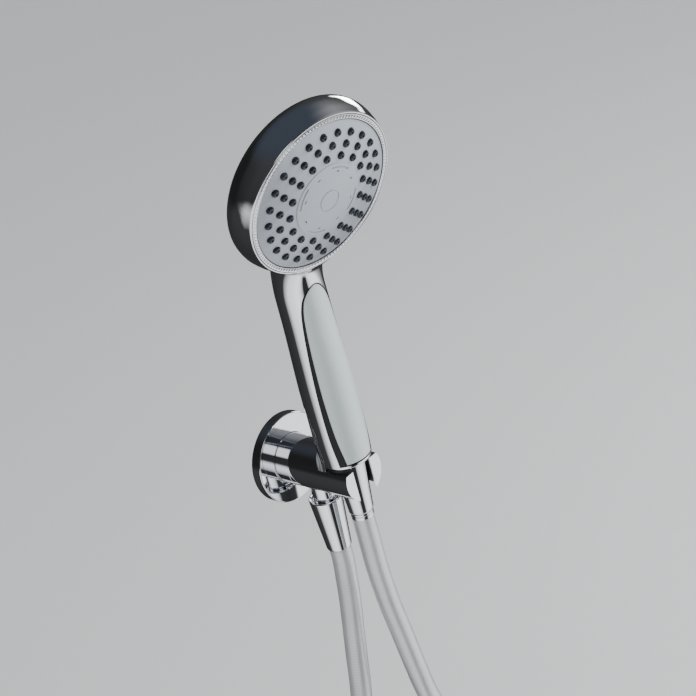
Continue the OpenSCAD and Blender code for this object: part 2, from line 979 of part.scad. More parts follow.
module pivot_washer() {
    color("silver")
    in_head()
    pipe(screw_z, pivot_washer_t, pivot_washer_r, screw_r);
}

module detent_plunger() {
    color("gray")
    in_head()
    translate([-detent_ring_r, 0, 0])
    difference() {
        union() {
            translate([0, 0, core_top - detent_t])
            cylinder(h = detent_t - eps, r = detent_r);
            translate([0, 0, core_top - 0.6])
            cylinder(h = core_gap + 0.6 + track_depth - run_gap, r = detent_nose_r);
        }
        translate([0, 0, core_top - 4])
        cylinder(h = 3.2, r = detent_r - 0.36);
    }
}

module detent_spring() {
    color("gray")
    in_head()
    translate([-detent_ring_r, 0, 0])
    stacked_spring(
        core_low + detent_floor + fit_gap, core_top - 0.8 - detent_travel - fit_gap,
        detent_r - 0.7, spring_wire, 5
    );
}

// ---------- spray face ----------

module face_back_plate() {
    color("ghostwhite")
    in_head()
    difference() {
        translate([0, 0, plate_low])
        cylinder(h = plate_t, r = face_r);
        translate([0, 0, plate_low - 1])
        cylinder(h = plate_t + 2, r = pivot_r + run_gap);
        for (a = port_angles)
        rotate([0, 0, a])
        translate([port_ring_r, 0, plate_low - 1])
        cylinder(h = plate_t + 2, r = port_r);
        // track that the detent's nose runs in
        translate([0, 0, plate_low - 1])
        difference() {
            cylinder(h = track_depth + 1, r = detent_ring_r + detent_nose_r + run_gap);
            translate([0, 0, -1])
            cylinder(h = track_depth + 3, r = detent_ring_r - detent_nose_r - run_gap);
        }
    }
}

module nozzle_mat() {
    color("black")
    in_head()
    difference() {
        union() {
            difference() {
                dome_layer(face_t, mat_t, face_r);
                translate([0, 0, plate_top - 5])
                cylinder(h = 30, r = insert_r + fit_gap);
                translate([0, 0, plate_top - 5])
                cylinder(h = 5, r = face_r + 1);
            }
            each_nozzle()
            translate([0, 0, -face_t - mat_t / 2])
            cylinder(h = face_t + mat_t / 2 + nozzle_out, r1 = nozzle_r, r2 = nozzle_r - 0.35, $fn = 24);
        }
        each_nozzle()
        translate([0, 0, -face_t - mat_t - 2])
        cylinder(h = face_t + mat_t + nozzle_out + 4, r = 0.6, $fn = 16);
    }
}

module face_plate() {
    color("lightsteelblue")
    in_head()
    difference() {
        dome_layer(0, face_t, face_r);
        translate([0, 0, plate_top - 5])
        cylinder(h = 30, r = insert_r + fit_gap);
        each_nozzle()
        translate([0, 0, -10])
        cylinder(h = 20, r = nozzle_r + fit_gap, $fn = 24);
    }
}

module trim_ring() {
    color("silver")
    in_head()
    rotate_extrude()
    polygon([
        [face_r + fit_gap, plate_low], [trim_r, plate_low], [trim_r, trim_top - 0.7],
        [trim_r - 0.7, trim_top], [face_r + 0.5, trim_top], [face_r + fit_gap, trim_top - 0.5]
    ]);
}

module centre_insert() {
    color("lightsteelblue")
    in_head()
    difference() {
        union() {
            dome_layer(-insert_rise, face_t + insert_rise, insert_r);
            translate([0, 0, turbine_low - 0.2])
            cylinder(h = dome_h - face_t - turbine_low + 0.4, r = axle_r);
            // wall around the turbine's room, down to the back plate
            pipe(
                plate_top, dome_z(turbine_r) - face_t - plate_top + 0.6,
                turbine_r + 2.4, turbine_r + 1
            );
        }
        for (k = [0:mist_count - 1])
        rotate([0, 0, (k + 0.5) * 360 / mist_count])
        translate([mist_ring_r - 0.4, -1.1, 0])
        cube([0.8, 2.2, dome_h + 3]);
        // shallow arcs around the massage outlets
        for (k = [0:3])
        rotate([0, 0, k * 90 + 45])
        translate([0, 0, dome_z(22) + insert_rise - 0.5])
        rotate_extrude(angle = 38)
        translate([21.6, 0])
        square([1.2, 4]);
        translate([0, 0, dome_h + insert_rise - 0.5])
        difference() {
            cylinder(h = 4, r = 7.4);
            translate([0, 0, -1])
            cylinder(h = 6, r = 6.8);
        }
    }
}

module massage_turbine() {
    color("orange")
    in_head()
    difference() {
        union() {
            translate([0, 0, turbine_low])
            cylinder(h = turbine_t, r = 4);
            translate([0, 0, turbine_low])
            cylinder(h = 1, r = turbine_r);
            for (k = [0:7])
            rotate([0, 0, k * 45])
            translate([3, -0.5, turbine_low])
            cube([turbine_r - 3.6, 1, turbine_t]);
        }
        translate([0, 0, turbine_low - 1])
        cylinder(h = turbine_t + 2, r = axle_r + run_gap);
    }
}

wall_flange();
flange_gasket();
supply_nipple();
arm_body();
arm_collar();
grub_screw();
cradle_liner();
outlet_spigot();
check_valve_body();
check_valve_poppet();
check_valve_spring();
outlet_nut();
outlet_washer();
outlet_ferrule();
hose_outlet_run();
hose_coil();
hose_tie();
hose_handset_run();
swivel_tail();
swivel_o_ring();
swivel_sleeve();
handset_nut();
inlet_washer();
filter_screen();
flow_regulator();
handle_connector();
connector_o_ring();
handle_shell();
head_shell();
handle_panel();
water_tube();
head_core();
core_screws();
head_o_ring();
port_seal();
pivot_screw();
pivot_washer();
detent_plunger();
detent_spring();
face_back_plate();
nozzle_mat();
face_plate();
trim_ring();
centre_insert();
massage_turbine();
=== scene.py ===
# %% [markdown]
# # A hand shower on its wall outlet
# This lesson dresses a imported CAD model. Lengths inside a piece are in millimetres, because that is
# how a maker thinks of a shower, and they are scaled to metres once, when the piece is put in place.

# %% Load the fixed frame
import math

import bmesh
import bpy
import numpy as np
from mathutils import Matrix, Vector


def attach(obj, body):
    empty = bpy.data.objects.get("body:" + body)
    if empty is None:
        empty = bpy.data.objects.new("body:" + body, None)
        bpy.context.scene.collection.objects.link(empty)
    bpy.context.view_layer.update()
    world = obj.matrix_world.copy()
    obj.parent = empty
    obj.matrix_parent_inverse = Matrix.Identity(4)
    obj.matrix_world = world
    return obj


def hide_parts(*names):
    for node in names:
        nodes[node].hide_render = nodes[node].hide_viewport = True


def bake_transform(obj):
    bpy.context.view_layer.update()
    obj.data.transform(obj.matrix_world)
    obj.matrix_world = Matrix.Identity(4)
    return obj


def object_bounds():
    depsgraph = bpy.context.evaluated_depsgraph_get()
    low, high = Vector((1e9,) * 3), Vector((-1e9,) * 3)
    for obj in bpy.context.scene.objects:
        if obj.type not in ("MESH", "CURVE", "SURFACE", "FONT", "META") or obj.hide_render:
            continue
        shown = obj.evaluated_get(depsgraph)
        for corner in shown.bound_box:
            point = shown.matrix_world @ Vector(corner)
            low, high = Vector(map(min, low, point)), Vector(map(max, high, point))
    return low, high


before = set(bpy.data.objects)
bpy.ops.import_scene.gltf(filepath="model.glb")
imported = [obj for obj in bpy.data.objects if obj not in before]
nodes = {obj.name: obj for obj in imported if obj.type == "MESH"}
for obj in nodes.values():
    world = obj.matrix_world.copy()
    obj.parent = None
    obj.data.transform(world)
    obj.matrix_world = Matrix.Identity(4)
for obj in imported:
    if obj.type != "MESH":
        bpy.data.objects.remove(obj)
cad_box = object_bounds()
print("CAD nodes:", len(nodes), "CAD box:", [tuple(round(v, 4) for v in c) for c in cad_box])

# %% [markdown]
# ## Camera
# A camera is a place and three axes. The lens is a long one, as for a product picture, so the round
# face keeps its shape. The camera is rolled a little, so the upright handset leans in the view.

# %% Camera
SENSOR_MM = 36.0
LENS_MM = 88.88
camera_place = Vector((-0.67906, -0.81071, 0.60330))
to_right = Vector((0.620927, -0.748715, -0.232113))
to_down = Vector((-0.488781, -0.138320, -0.861371))
to_front = Vector((0.612816, 0.648301, -0.451844))
camera_data = bpy.data.cameras.new("studio_camera")
camera_data.sensor_width = SENSOR_MM
camera_data.lens = LENS_MM
camera_data.clip_start = 0.05
camera = bpy.data.objects.new("studio_camera", camera_data)
camera.matrix_world = Matrix.Translation(camera_place) @ Matrix(
    (to_right, -to_down, -to_front)
).transposed().to_4x4()
bpy.context.scene.collection.objects.link(camera)
bpy.context.scene.camera = camera
print("camera at", tuple(round(v, 3) for v in camera_place))

# %% [markdown]
# ## Small tools for node trees
# Geometry Nodes and shaders are both node trees, so one helper can place a node, set its plain values
# and link what comes from other nodes. It keeps every tree below short enough to read.

# %% Tools for node trees
def add(tree, kind, feeds=None, **settings):
    """Places a node. A feed is a socket to link from or a value to set."""
    node = tree.nodes.new(kind)
    for key, value in settings.items():
        setattr(node, key, value)
    for socket, value in (feeds or {}).items():
        if isinstance(value, bpy.types.NodeSocket):
            tree.links.new(value, node.inputs[socket])
        else:
            node.inputs[socket].default_value = value
    return node


def math_of(tree, operation, a, b=0.0):
    return add(tree, "ShaderNodeMath", {0: a, 1: b}, operation=operation).outputs[0]


def new_tree(name, kind, takes, gives):
    """A node group with named inputs and outputs, and its two end nodes."""
    tree = bpy.data.node_groups.new(name, kind)
    for label, socket, value in takes:
        made = tree.interface.new_socket(label, in_out="INPUT", socket_type=socket)
        if value is not None:
            made.default_value = value
    for label, socket in gives:
        tree.interface.new_socket(label, in_out="OUTPUT", socket_type=socket)
    return tree, tree.nodes.new("NodeGroupInput"), tree.nodes.new("NodeGroupOutput")


print("helpers for node trees are ready")

# %% [markdown]
# ## Finish group: marks on a wiped surface
# Plated and satin surfaces are never quite even. Water dries into small round spots, a cloth leaves
# long hairlines, and fingers leave soft smudges. All three come from noise on Object coordinates, so
# they stay on the piece from every side. One group serves every smooth finish, each with its values.

# %% Group for wiped surfaces
FLOAT, COLOUR, VECTOR = "NodeSocketFloat", "NodeSocketColor", "NodeSocketVector"


def wiped_group():
    tree, start, end = new_tree(
        "wiped_surface", "ShaderNodeTree",
        [("Tone", COLOUR, (0.8, 0.8, 0.8, 1)), ("Smudge tone", COLOUR, (0.7, 0.7, 0.7, 1)),
         ("Roughness", FLOAT, 0.05), ("Roughness spread", FLOAT, 0.05),
         ("Relief", FLOAT, 0.02), ("Spot size", FLOAT, 260.0), ("Grain size", FLOAT, 3000.0)],
        [("Color", COLOUR), ("Roughness", FLOAT), ("Normal", VECTOR)],
    )
    place = add(tree, "ShaderNodeTexCoord").outputs["Object"]
    smudge = add(tree, "ShaderNodeTexNoise", {
        "Vector": place, "Scale": 38.0, "Detail": 4.0, "Roughness": 0.6, "Distortion": 0.8})
    soft = add(tree, "ShaderNodeMapRange", {
        "Value": smudge.outputs["Fac"], "From Min": 0.46, "From Max": 0.72},
        interpolation_type="SMOOTHSTEP").outputs["Result"]
    drawn = add(tree, "ShaderNodeMapping", {"Vector": place, "Scale": (1.0, 1.0, 0.06)}).outputs[0]
    lines = add(tree, "ShaderNodeTexNoise", {
        "Vector": drawn, "Scale": 2600.0, "Detail": 2.0}).outputs["Fac"]
    cells = add(tree, "ShaderNodeTexVoronoi", {
        "Vector": place, "Scale": start.outputs["Spot size"]}, feature="F1").outputs["Distance"]
    spots = add(tree, "ShaderNodeMapRange", {
        "Value": cells, "From Min": 0.10, "From Max": 0.16, "To Min": 1.0, "To Max": 0.0},
        interpolation_type="SMOOTHSTEP").outputs["Result"]
    few = math_of(tree, "MULTIPLY", spots, soft)
    grain = add(tree, "ShaderNodeTexNoise", {
        "Vector": place, "Scale": start.outputs["Grain size"], "Detail": 3.0}).outputs["Fac"]
    marks = math_of(tree, "ADD", math_of(tree, "MULTIPLY", soft, 0.55),
                    math_of(tree, "MULTIPLY", lines, 0.35))
    marks = math_of(tree, "ADD", marks, math_of(tree, "MULTIPLY", few, 0.6))
    rough = math_of(tree, "ADD", start.outputs["Roughness"],
                    math_of(tree, "MULTIPLY", marks, start.outputs["Roughness spread"]))
    tint = add(tree, "ShaderNodeMix", {
        "Factor": math_of(tree, "MULTIPLY", marks, 0.7), 6: start.outputs["Tone"],
        7: start.outputs["Smudge tone"]}, data_type="RGBA").outputs[2]
    relief = math_of(tree, "ADD", grain, math_of(tree, "MULTIPLY", few, 0.8))
    bump = add(tree, "ShaderNodeBump", {
        "Strength": start.outputs["Relief"], "Distance": 0.0004, "Height": relief}).outputs[0]
    for socket, value in (("Color", tint), ("Roughness", rough), ("Normal", bump)):
        tree.links.new(value, end.inputs[socket])
    return tree


wiped = wiped_group()
print("group", wiped.name, "with", len(wiped.nodes), "nodes")

# %% [markdown]
# ## Finish group: moulded grain
# Rubber and matt plastic take a fine leathery grain from the mould, and dust settles in it. The grain
# is a cell pattern broken up by noise, and the dust is a slow noise that lifts the colour.

# %% Group for moulded pieces
def moulded_group():
    tree, start, end = new_tree(
        "moulded_grain", "ShaderNodeTree",
        [("Tone", COLOUR, (0.1, 0.1, 0.1, 1)), ("Dust tone", COLOUR, (0.3, 0.3, 0.3, 1)),
         ("Dust", FLOAT, 0.3), ("Roughness", FLOAT, 0.5), ("Roughness spread", FLOAT, 0.15),
         ("Relief", FLOAT, 0.15), ("Grain size", FLOAT, 1800.0)],
        [("Color", COLOUR), ("Roughness", FLOAT), ("Normal", VECTOR)],
    )
    place = add(tree, "ShaderNodeTexCoord").outputs["Object"]
    cells = add(tree, "ShaderNodeTexVoronoi", {
        "Vector": place, "Scale": start.outputs["Grain size"]}, feature="F1").outputs["Distance"]
    noise = add(tree, "ShaderNodeTexNoise", {
        "Vector": place, "Scale": start.outputs["Grain size"], "Detail": 3.0}).outputs["Fac"]
    slow = add(tree, "ShaderNodeTexNoise", {
        "Vector": place, "Scale": 90.0, "Detail": 5.0, "Roughness": 0.65}).outputs["Fac"]
    dust = add(tree, "ShaderNodeMapRange", {
        "Value": slow, "From Min": 0.42, "From Max": 0.75, "To Max": start.outputs["Dust"]},
        interpolation_type="SMOOTHSTEP").outputs["Result"]
    tint = add(tree, "ShaderNodeMix", {
        "Factor": dust, 6: start.outputs["Tone"], 7: start.outputs["Dust tone"]},
        data_type="RGBA").outputs[2]
    rough = math_of(tree, "ADD", start.outputs["Roughness"],
                    math_of(tree, "MULTIPLY", slow, start.outputs["Roughness spread"]))
    relief = math_of(tree, "ADD", cells, math_of(tree, "MULTIPLY", noise, 0.6))
    bump = add(tree, "ShaderNodeBump", {
        "Strength": start.outputs["Relief"], "Distance": 0.0003, "Height": relief}).outputs[0]
    for socket, value in (("Color", tint), ("Roughness", rough), ("Normal", bump)):
        tree.links.new(value, end.inputs[socket])
    return tree


moulded = moulded_group()
print("group", moulded.name, "with", len(moulded.nodes), "nodes")

# %% [markdown]
# ## Materials
# A material is a finish group with its own numbers, feeding one Principled shader. What is the same
# all over the piece, such as metal or coat, is set on the shader's own socket.

# %% Materials of the set
def rgba(r, g, b):
    return (r, g, b, 1.0)


def make_finish(name, group, values, metallic=0.0, **plain):
    material = bpy.data.materials.new(name)
    material.use_nodes = True
    tree = material.node_tree
    shader = tree.nodes["Principled BSDF"]
    marks = add(tree, "ShaderNodeGroup")
    marks.node_tree = group
    for socket, value in values.items():
        marks.inputs[socket].default_value = value
    tree.links.new(marks.outputs["Color"], shader.inputs["Base Color"])
    tree.links.new(marks.outputs["Roughness"], shader.inputs["Roughness"])
    tree.links.new(marks.outputs["Normal"], shader.inputs["Normal"])
    shader.inputs["Metallic"].default_value = metallic
    for socket, value in plain.items():
        shader.inputs[socket.replace("_", " ")].default_value = value
    return material


def wiped_finish(name, tone, smudge, rough, spread, relief, metallic, grain=3000.0, spot=260.0, **plain):
    return make_finish(name, wiped, {
        "Tone": rgba(*tone), "Smudge tone": rgba(*smudge), "Roughness": rough,
        "Roughness spread": spread, "Relief": relief, "Spot size": spot, "Grain size": grain,
    }, metallic, **plain)


def moulded_finish(name, tone, dust_tone, dust, rough, relief, grain=1800.0, **plain):
    return make_finish(name, moulded, {
        "Tone": rgba(*tone), "Dust tone": rgba(*dust_tone), "Dust": dust, "Roughness": rough,
        "Relief": relief, "Grain size": grain,
    }, **plain)


chrome = wiped_finish("mirror_chrome", (0.84, 0.85, 0.88), (0.78, 0.79, 0.82), 0.015, 0.045, 0.008, 1.0)
face_satin = wiped_finish("face_satin", (0.44, 0.47, 0.52), (0.50, 0.53, 0.57), 0.28, 0.12, 0.05, 0.20,
                          grain=5200.0, Coat_Weight=0.25, Coat_Roughness=0.25)
pearl = wiped_finish("pearl_panel", (0.64, 0.72, 0.71), (0.70, 0.76, 0.75), 0.34, 0.10, 0.02, 0.15,
                     grain=6000.0, Coat_Weight=0.15, Coat_Roughness=0.20)
# Near-black glossy finish for the band round the panel. The band is painted reflection of the dark room in
# the rounded chrome edge.
painted_reflection_black = wiped_finish("painted_reflection_black", (0.004, 0.005, 0.007), (0.012, 0.012, 0.014), 0.16, 0.10,
                             0.02, 0.0, Specular_IOR_Level=0.2)
brass = wiped_finish("turned_brass", (0.62, 0.42, 0.17), (0.45, 0.30, 0.12), 0.22, 0.14, 0.06, 1.0)
steel = wiped_finish("drawn_steel", (0.52, 0.52, 0.53), (0.42, 0.42, 0.43), 0.26, 0.14, 0.06, 1.0)
nozzle_rubber = moulded_finish("nozzle_rubber", (0.006, 0.009, 0.018), (0.05, 0.06, 0.08), 0.35, 0.22, 0.10,
                               grain=2600.0)
# Black rubber for the seals. The same black also fills the neck gap, where it is painted shade.
seal_rubber_and_painted_shade = moulded_finish("seal_rubber_and_painted_shade", (0.008, 0.008, 0.009), (0.06, 0.06, 0.06), 0.35, 0.42, 0.15)
black_nylon = moulded_finish("black_nylon", (0.010, 0.010, 0.011), (0.05, 0.05, 0.05), 0.25, 0.38, 0.20)
strap_black = moulded_finish("strap_black", (0.012, 0.012, 0.014), (0.07, 0.07, 0.07), 0.35, 0.50, 0.30,
                             grain=900.0)
white_plastic = moulded_finish("white_plastic", (0.70, 0.70, 0.67), (0.55, 0.54, 0.50), 0.35, 0.38, 0.10)
orange_plastic = moulded_finish("orange_plastic", (0.75, 0.16, 0.02), (0.50, 0.20, 0.08), 0.30, 0.36, 0.10)
green_plastic = moulded_finish("green_plastic", (0.02, 0.17, 0.07), (0.10, 0.20, 0.12), 0.30, 0.36, 0.10)
tube_plastic = moulded_finish("tube_plastic", (0.50, 0.60, 0.66), (0.45, 0.50, 0.52), 0.30, 0.28, 0.06)
print("materials:", len(bpy.data.materials))

# %% [markdown]
# ## Hose material
# The hose has a smooth clear skin over a silver wrap. Fine bands run round it, so the pattern reads the
# distance along the hose, which the hose's own tree stores as an attribute called `along`.

# %% Hose material
WRAP_PITCH = 0.0022


def hose_finish():
    material = bpy.data.materials.new("silver_hose")
    material.use_nodes = True
    tree = material.node_tree
    shader = tree.nodes["Principled BSDF"]
    along = add(tree, "ShaderNodeAttribute", attribute_name="along").outputs["Fac"]
    place = add(tree, "ShaderNodeTexCoord").outputs["Object"]
    turns = math_of(tree, "MULTIPLY", along, 2 * math.pi / WRAP_PITCH)
    wave = math_of(tree, "SINE", turns)
    band = add(tree, "ShaderNodeMapRange", {"Value": wave, "From Min": -1.0, "From Max": 1.0}).outputs[0]
    cloud = add(tree, "ShaderNodeTexNoise", {"Vector": place, "Scale": 60.0, "Detail": 5.0}).outputs["Fac"]
    shade = math_of(tree, "ADD", math_of(tree, "MULTIPLY", band, 0.35),
                    math_of(tree, "MULTIPLY", cloud, 0.65))
    tint = add(tree, "ShaderNodeMix", {
        "Factor": shade, 6: rgba(0.56, 0.58, 0.60), 7: rgba(0.74, 0.76, 0.78)}, data_type="RGBA").outputs[2]
    rough = add(tree, "ShaderNodeMapRange", {"Value": cloud, "To Min": 0.24, "To Max": 0.38}).outputs[0]
    bump = add(tree, "ShaderNodeBump", {"Strength": 0.10, "Distance": 0.0004, "Height": band}).outputs[0]
    for socket, value in (("Base Color", tint), ("Roughness", rough), ("Normal", bump)):
        tree.links.new(value, shader.inputs[socket])
    shader.inputs["Metallic"].default_value = 0.35
    shader.inputs["Coat Weight"].default_value = 0.35
    shader.inputs["Coat Roughness"].default_value = 0.15
    return material


silver_hose = hose_finish()
print("hose bands every", WRAP_PITCH * 1000, "mm")

# %% [markdown]
# ## Placing pieces
# The handset stands in the cradle, turned ten degrees, and the face looks forward and down. Each frame
# is a matrix from millimetres in the piece's own axes to metres in the shared frame.

# %% Frames of the set
MM = Matrix.Scale(0.001, 4)
OUTLET_Y, CRADLE_Y = -0.0305, -0.0629
BEND_LOW, BEND_R = 140.0, 60.0
HANDSET_TURN = math.radians(-10)
FACE_TURN = math.radians(90 + 21.2)
FACE_CENTRE = (0, -52.0, 218.7)
wall_frame = Matrix.Rotation(math.pi / 2, 4, "X") @ MM
outlet_frame = Matrix.Translation((0, OUTLET_Y, 0)) @ MM
handset_turn = Matrix.Translation((0, CRADLE_Y, 0)) @ Matrix.Rotation(HANDSET_TURN, 4, "Z")
cradle_frame = handset_turn @ MM
face_place = Matrix.Translation(FACE_CENTRE) @ Matrix.Rotation(FACE_TURN, 4, "X")
face_frame = cradle_frame @ face_place
print("face centre at", tuple(round(v, 4) for v in face_frame.translation))


def put(name, mesh, place, body, material=None, stands_for=()):
    mesh.transform(place)
    if material is not None:
        mesh.materials.clear()
        mesh.materials.append(material)
    piece = bpy.data.objects.new(name, mesh)
    bpy.context.scene.collection.objects.link(piece)
    if body:
        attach(piece, body)
    if stands_for:
        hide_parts(*stands_for)
    print(name, "has", len(mesh.polygons), "faces")
    return piece


def grow(name, source, tree, sizes):
    """Runs a Geometry Nodes tree on a mesh or curve and returns the plain mesh that it makes."""
    maker = bpy.data.objects.new(name, source)
    step = maker.modifiers.new("grow", "NODES")
    step.node_group = tree
    for item in tree.interface.items_tree:
        if item.item_type == "SOCKET" and item.in_out == "INPUT" and item.name in sizes:
            step[item.identifier] = sizes[item.name]
    bpy.context.scene.collection.objects.link(maker)
    graph = bpy.context.evaluated_depsgraph_get()
    mesh = bpy.data.meshes.new_from_object(maker.evaluated_get(graph), depsgraph=graph)
    bpy.data.objects.remove(maker)
    return mesh


# %% [markdown]
# ## The hose
# A hose is one curve with a round section. The route leaves the outlet straight down, bends slowly,
# winds one and a half turns low down as stored hose does, and comes back up to the handset. A spline
# through the route's points keeps it smooth, and a Curve to Mesh tree gives it its section.

# %% Route of the hose
HOSE_R, HOSE_LENGTH, HOSE_SIDES = 0.008, 1.5, 32
COIL_R, COIL_Z = 88.0, -372.0
COIL_Y, COIL_SPREAD = -34, 27
COIL_STEPS = 24
outlet_route = [
    (0, -30.5, -71), (0, -30.5, -82), (-2, -30.5, -98), (-5, -31, -115), (-9, -31, -135),
    (-14, -31, -160), (-21, -32, -190), (-31, -32, -220), (-44, -33, -250), (-59, -33, -280),
    (-74, -34, -311), (-84, -34, -342), (-88, -34, -372),
]
handset_route = [
    (0, -62.9, -36), (0, -62.9, -60), (0, -62.9, -82), (2, -63, -112), (6, -63, -143),
    (10, -63, -175), (15, -63, -208), (24, -63, -236), (37, -62, -264), (53, -62, -290),
    (69, -61, -315), (82, -61, -343), (88, -61, -372),
]
coil_route = []
for step in range(1, COIL_STEPS):
    share = step / COIL_STEPS
    turn = math.pi + share * 3 * math.pi
    coil_route.append((COIL_R * math.cos(turn), COIL_Y - COIL_SPREAD * share,
                       COIL_Z + COIL_R * math.sin(turn)))
route = np.array(outlet_route + coil_route + handset_route[::-1], float) / 1000


def spline_through(points, pieces):
    """A smooth line through points: each stretch leans on the points before and after it."""
    ends = np.vstack([2 * points[0] - points[1], points, 2 * points[-1] - points[-2]])
    made = []
    for a, b, c, d in zip(ends[:-3], ends[1:-2], ends[2:-1], ends[3:]):
        for t in np.arange(pieces) / pieces:
            made.append(0.5 * (2 * b + (c - a) * t + (2 * a - 5 * b + 4 * c - d) * t**2
                               + (3 * b - a - 3 * c + d) * t**3))
    return np.array(made + [points[-1]])


hose_line = spline_through(route, 8)
hose_length = float(np.linalg.norm(np.diff(hose_line, axis=0), axis=1).sum())
print("hose line of", len(hose_line), "points,", round(hose_length, 3), "m")

# %% Hose tree and mesh
def hose_tree():
    tree, start, end = new_tree(
        "hose_section", "GeometryNodeTree",
        [("Geometry", "NodeSocketGeometry", None), ("Radius", FLOAT, 0.008),
         ("Sides", "NodeSocketInt", 32), ("Material", "NodeSocketMaterial", None)],
        [("Geometry", "NodeSocketGeometry")],
    )
    measure = add(tree, "GeometryNodeSplineParameter").outputs["Length"]
    marked = add(tree, "GeometryNodeStoreNamedAttribute", {
        "Geometry": start.outputs["Geometry"], "Name": "along", "Value": measure},
        data_type="FLOAT", domain="POINT").outputs[0]
    ring = add(tree, "GeometryNodeCurvePrimitiveCircle", {
        "Resolution": start.outputs["Sides"], "Radius": start.outputs["Radius"]}).outputs[0]
    tube = add(tree, "GeometryNodeCurveToMesh", {
        "Curve": marked, "Profile Curve": ring, "Fill Caps": True}).outputs[0]
    smooth = add(tree, "GeometryNodeSetShadeSmooth", {"Geometry": tube}).outputs[0]
    coated = add(tree, "GeometryNodeSetMaterial", {
        "Geometry": smooth, "Material": start.outputs["Material"]}).outputs[0]
    real = add(tree, "GeometryNodeRealizeInstances", {"Geometry": coated}).outputs[0]
    tree.links.new(real, end.inputs[0])
    return tree


hose_curve = bpy.data.curves.new("hose_line", "CURVE")
hose_curve.dimensions = "3D"
strand = hose_curve.splines.new("POLY")
strand.points.add(len(hose_line) - 1)
strand.points.foreach_set("co", np.hstack([hose_line, np.ones((len(hose_line), 1))]).ravel())
hose_mesh = grow("hose_maker", hose_curve, hose_tree(), {
    "Radius": HOSE_R, "Sides": HOSE_SIDES, "Material": silver_hose})
hose = put("shower_hose", hose_mesh, Matrix.Identity(4), None, None,
           ("hose_outlet_run", "hose_coil", "hose_handset_run"))
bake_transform(hose)

# %% [markdown]
# ## Turned pieces
# Flange, nuts, rings and collar are lathe work: a profile of radius and height turned about an axis.
# Real plated edges are never sharp, so each corner of the profile is rounded first. A weighted normal
# modifier then keeps the flats flat, which is what makes a mirror finish look right.

# %% Lathe
def rounded(profile, radius, closed, steps=5):
    """Rounds the corners of a profile with short curves."""
    points = [Vector(p) for p in profile]
    made = []
    for i, corner in enumerate(points):
        if not closed and i in (0, len(points) - 1):
            made.append(corner)
            continue
        before, after = points[i - 1] - corner, points[(i + 1) % len(points)] - corner
        cut = min(radius, before.length * 0.45, after.length * 0.45)
        a, b = corner + before.normalized() * cut, corner + after.normalized() * cut
        for k in range(steps + 1):
            t = k / steps
            made.append(a * (1 - t) ** 2 + corner * 2 * t * (1 - t) + b * t**2)
    return [(p.x, p.y) for p in made]


def lathe(name, profile, radius=0.4, closed=True, sides=160):
    """Turns a profile about the Z axis. An open profile starts and ends on the axis."""
    outline = rounded(profile, radius, closed)
    shape = bmesh.new()
    rings = []
    for r, z in outline:
        if r < 1e-6:
            rings.append([shape.verts.new((0, 0, z))])
        else:
            rings.append([shape.verts.new((r * math.cos(k * math.tau / sides),
                                           r * math.sin(k * math.tau / sides), z)) for k in range(sides)])
    pairs = list(zip(rings, rings[1:])) + ([(rings[-1], rings[0])] if closed else [])
    for low, high in pairs:
        for k in range(sides):
            n = (k + 1) % sides
            loop = [low[k % len(low)], low[n % len(low)], high[n % len(high)], high[k % len(high)]]
            loop = list(dict.fromkeys(loop))
            if len(loop) > 2:
                shape.faces.new(loop)
    bmesh.ops.recalc_face_normals(shape, faces=shape.faces)
    mesh = bpy.data.meshes.new(name)
    shape.to_mesh(mesh)
    shape.free()
    mesh.shade_smooth()
    return mesh


def turned(name, profile, place, body, material, stands_for=(), radius=0.4, sides=160):
    piece = put(name, lathe(name, profile, radius, True, sides), place, body, material, stands_for)
    even = piece.modifiers.new("even_normals", "WEIGHTED_NORMAL")
    even.weight = 100
    return piece


print("lathe is ready")

# %% Turned pieces of the bracket
NUT = [(10.45, -9.0), (10.45, -0.5), (10.9, 0.0), (11.7, 0.0), (12.2, -0.7), (12.1, -2.4), (9.2, -42.2),
       (8.75, -43.0), (7.5, -43.0), (7.5, -9.0)]
turned("bracket_flange", [(18.05, 8.2), (32.6, 8.2), (32.6, 0.0), (30.8, 0.0), (30.8, 6.4), (18.05, 6.4)],
       wall_frame, "wall_bracket", chrome, ["wall_flange"], radius=0.9)
turned("bracket_collar", [(12.6, 0.5), (18.0, 0.5), (18.0, 20.5), (12.6, 20.5)],
       wall_frame, "wall_bracket", chrome, ["arm_collar"], radius=0.35)
turned("lower_hose_nut", NUT, outlet_frame @ Matrix.Translation((0, 0, -27.4)), "wall_bracket", chrome,
       ["outlet_nut"], radius=0.35)
# This black ring fills the gap between the nut's top opening and the neck. It is painted shade: a dark ring
# standing in for the shadow inside that gap.
turned("neck_gap_painted_shade", [(8.72, -28.0), (10.4, -28.0), (10.4, -30.0), (8.72, -30.0)],
       outlet_frame, "wall_bracket", seal_rubber_and_painted_shade, (), radius=0.5)

# %% Turned pieces under the handset
turned("upper_hose_nut", NUT, cradle_frame @ Matrix.Translation((0, 0, 12.45)), "handset", chrome,
       ["handset_nut"], radius=0.35)
turned("swivel_ring", [(7.3, -30.9), (8.0, -30.9), (8.4, -31.3), (8.4, -32.6), (8.15, -32.9), (8.4, -33.2),
                       (8.4, -35.6), (8.1, -36.0), (7.3, -36.0)],
       Matrix.Translation((0, CRADLE_Y, 0)) @ MM, "hose_tail", chrome, ["swivel_tail"], radius=0.15)

# %% [markdown]
# ## The handset's housing
# Handle, neck and head are one plated moulding, with a soft hollow where the neck runs into the bowl.
# The shape is written as a field: the distance to a round bar of changing radius, and the distance to
# the turned bowl, melted together with a smooth minimum. A coarse solid is remeshed, its points are
# then drawn onto the field's zero surface, and the field's own slope gives exact normals for mirrors.

